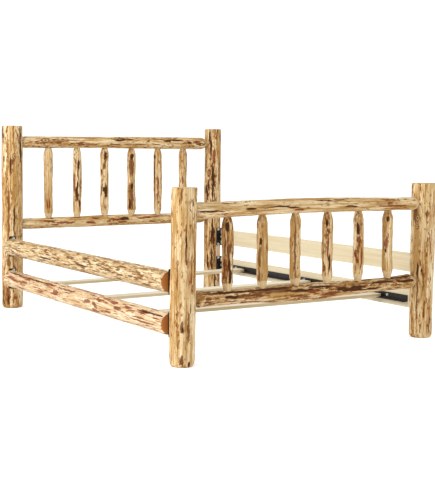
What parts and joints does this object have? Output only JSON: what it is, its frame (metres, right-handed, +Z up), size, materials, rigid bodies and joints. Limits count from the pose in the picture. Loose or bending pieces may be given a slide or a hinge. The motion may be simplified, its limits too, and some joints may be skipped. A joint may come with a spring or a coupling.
{
  "type": "log bed frame",
  "caption": "Rustic log bed frame: round corner posts, tenoned rails and spindles at head and foot, half-log side rails on steel brackets, and loose slats on steel ledgers.",
  "frame": {"origin": "on the floor, under the middle of the bed's outline", "axes": "+X across the bed, to the right for someone who stands at the foot and faces the headboard; +Y along the bed to the headboard; +Z up"},
  "size_m": [1.7346, 2.3509, 1.194],
  "materials": {
    "peeled_log_pine": "clear satin finish over a hand-peeled log, with streaks of inner bark left on",
    "half_log_pine": "clear satin finish, round back hand-peeled, inner face sawn",
    "slat_pine": "planed, unfinished",
    "black_steel": "black paint",
    "bolt_steel": "bright zinc plate"
  },
  "bodies": {
    "bed_frame": {"foot_bottom_rail": "peeled_log_pine", "foot_left_lower_bracket": "black_steel", "foot_left_upper_bracket": "black_steel", "foot_post_left": "peeled_log_pine", "foot_post_right": "peeled_log_pine", "foot_right_lower_bracket": "black_steel", "foot_right_upper_bracket": "black_steel", "foot_spindle_1": "peeled_log_pine", "foot_spindle_2": "peeled_log_pine", "foot_spindle_3": "peeled_log_pine", "foot_spindle_4": "peeled_log_pine", "foot_spindle_5": "peeled_log_pine", "foot_spindle_6": "peeled_log_pine", "foot_top_rail": "peeled_log_pine", "head_bottom_rail": "peeled_log_pine", "head_left_lower_bracket": "black_steel", "head_left_upper_bracket": "black_steel", "head_post_left": "peeled_log_pine", "head_post_right": "peeled_log_pine", "head_right_lower_bracket": "black_steel", "head_right_upper_bracket": "black_steel", "head_spindle_1": "peeled_log_pine", "head_spindle_2": "peeled_log_pine", "head_spindle_3": "peeled_log_pine", "head_spindle_4": "peeled_log_pine", "head_spindle_5": "peeled_log_pine", "head_spindle_6": "peeled_log_pine", "head_top_rail": "peeled_log_pine", "ledger_lag_bolts": "bolt_steel", "left_ledger": "black_steel", "left_lower_side_rail": "half_log_pine", "left_upper_side_rail": "half_log_pine", "post_lag_bolts": "bolt_steel", "rail_lag_bolts": "bolt_steel", "right_ledger": "black_steel", "right_lower_side_rail": "half_log_pine", "right_upper_side_rail": "half_log_pine"},
    "slat_head": {"slat_1": "slat_pine"},
    "slat_middle": {"slat_2": "slat_pine"},
    "slat_foot": {"slat_3": "slat_pine"}
  },
  "joints": [
    {"name": "slat_head_lift", "type": "slide", "parent": "bed_frame", "child": "slat_head", "axis": [0, 0, 1], "range_m": [0, 0.3]},
    {"name": "slat_middle_lift", "type": "slide", "parent": "bed_frame", "child": "slat_middle", "axis": [0, 0, 1], "range_m": [0, 0.3]},
    {"name": "slat_foot_lift", "type": "slide", "parent": "bed_frame", "child": "slat_foot", "axis": [0, 0, 1], "range_m": [0, 0.3]}
  ]
}
